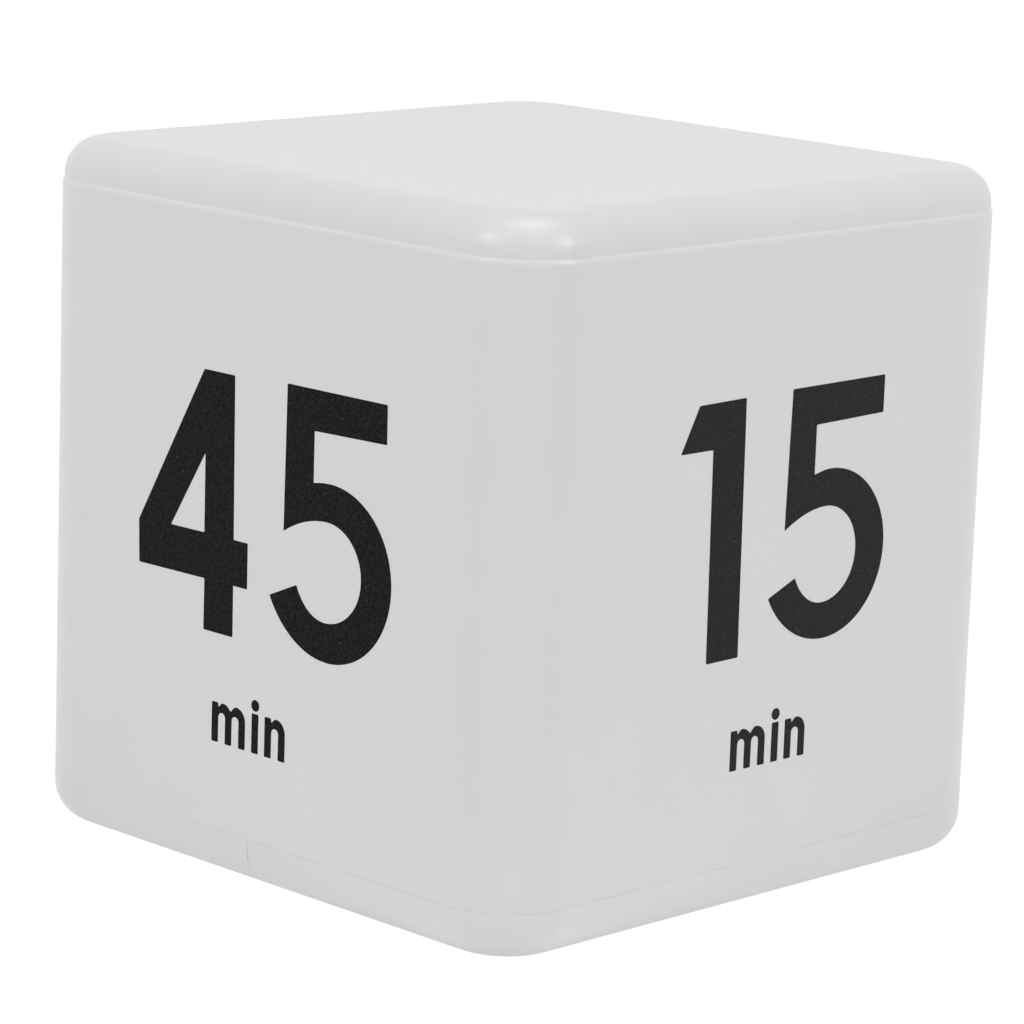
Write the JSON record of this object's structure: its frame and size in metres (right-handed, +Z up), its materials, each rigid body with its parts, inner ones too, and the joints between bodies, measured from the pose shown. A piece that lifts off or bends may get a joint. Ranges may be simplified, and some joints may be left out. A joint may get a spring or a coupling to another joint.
{
  "type": "cube timer",
  "caption": "Free-standing cube timer with rounded edges, set by turning it onto a numbered side, with a capped sleeve, a sliding battery door and a switch underneath.",
  "frame": {"origin": "middle of the underside, on the surface that the cube stands on", "axes": "+Z up through the blank top face, -Y out of the face with the 45 minute figures, +X out of the face with the 15 minute figures"},
  "size_m": [0.0636, 0.0636, 0.0635],
  "materials": {
    "case_plastic": "white moulded plastic with a fine satin texture",
    "cell_jacket": null,
    "spring_steel": "bright nickel plated steel",
    "screw_steel": "zinc plated steel",
    "board_laminate": "green solder mask on laminate",
    "black_resin": "black epoxy",
    "black_plastic": "black moulded plastic",
    "switch_sheet": "tinned steel sheet",
    "tinned_wire": "tinned copper",
    "aluminium_can": "aluminium can",
    "crystal_can": "plated steel can",
    "resistor_body": "ceramic chip with a black coat",
    "ferrite": "grey ferrite",
    "copper_winding": "enamelled copper wire",
    "lamp_resin": "tinted clear epoxy",
    "sounder_brass": "rolled brass sheet",
    "sounder_ceramic": "silvered ceramic layer",
    "red_wire": "red insulated wire",
    "black_wire": "black insulated wire",
    "tilt_brass": "gold plated brass can",
    "ball_steel": "polished steel ball"
  },
  "bodies": {
    "case": {"case_sleeve": "case_plastic", "top_cap": "case_plastic", "base_cover": "case_plastic", "case_screws": "screw_steel", "board_screws": "screw_steel", "circuit_board": "board_laminate", "switch_case": "switch_sheet", "switch_insulator": "black_plastic", "switch_pins": "tinned_wire", "timer_chip": "black_resin", "crystal": "crystal_can", "capacitor": "aluminium_can", "transistor": "black_resin", "transistor_legs": "tinned_wire", "choke_core": "ferrite", "choke_winding": "copper_winding", "resistors": "resistor_body", "lamp": "lamp_resin", "lamp_leads": "tinned_wire", "sounder_disc": "sounder_brass", "sounder_ceramic": "sounder_ceramic", "sounder_wires": "black_wire", "battery_1": "cell_jacket", "battery_2": "cell_jacket", "battery_spring_1": "spring_steel", "battery_spring_2": "spring_steel", "bridge_contact": "spring_steel", "negative_contact": "spring_steel", "positive_contact": "spring_steel", "battery_lead_negative": "black_wire", "battery_lead_positive": "red_wire", "tilt_can_1": "tilt_brass", "tilt_plug_1": "black_plastic", "tilt_pins_1": "tinned_wire", "tilt_can_2": "tilt_brass", "tilt_plug_2": "black_plastic", "tilt_pins_2": "tinned_wire", "tilt_can_3": "tilt_brass", "tilt_plug_3": "black_plastic", "tilt_pins_3": "tinned_wire", "tilt_can_4": "tilt_brass", "tilt_plug_4": "black_plastic", "tilt_pins_4": "tinned_wire"},
    "door": {"battery_door": "case_plastic"},
    "switch": {"switch_slider": "black_plastic", "switch_lever": "black_plastic"},
    "ball_1": {"tilt_ball_1": "ball_steel"},
    "ball_2": {"tilt_ball_2": "ball_steel"},
    "ball_3": {"tilt_ball_3": "ball_steel"},
    "ball_4": {"tilt_ball_4": "ball_steel"}
  },
  "joints": [
    {"name": "door_slide", "type": "slide", "parent": "case", "child": "door", "axis": [-1, 0, 0], "range_m": [0, 0.034]},
    {"name": "switch_slide", "type": "slide", "parent": "case", "child": "switch", "axis": [0, 1, 0], "range_m": [0, 0.004]},
    {"name": "ball_1_roll", "type": "slide", "parent": "case", "child": "ball_1", "axis": [1, 0, 0], "range_m": [0, 0.0024]},
    {"name": "ball_2_roll", "type": "slide", "parent": "case", "child": "ball_2", "axis": [0, 1, 0], "range_m": [0, 0.0024]},
    {"name": "ball_3_roll", "type": "slide", "parent": "case", "child": "ball_3", "axis": [-1, 0, 0], "range_m": [0, 0.0024]},
    {"name": "ball_4_roll", "type": "slide", "parent": "case", "child": "ball_4", "axis": [0, -1, 0], "range_m": [0, 0.0024]}
  ]
}
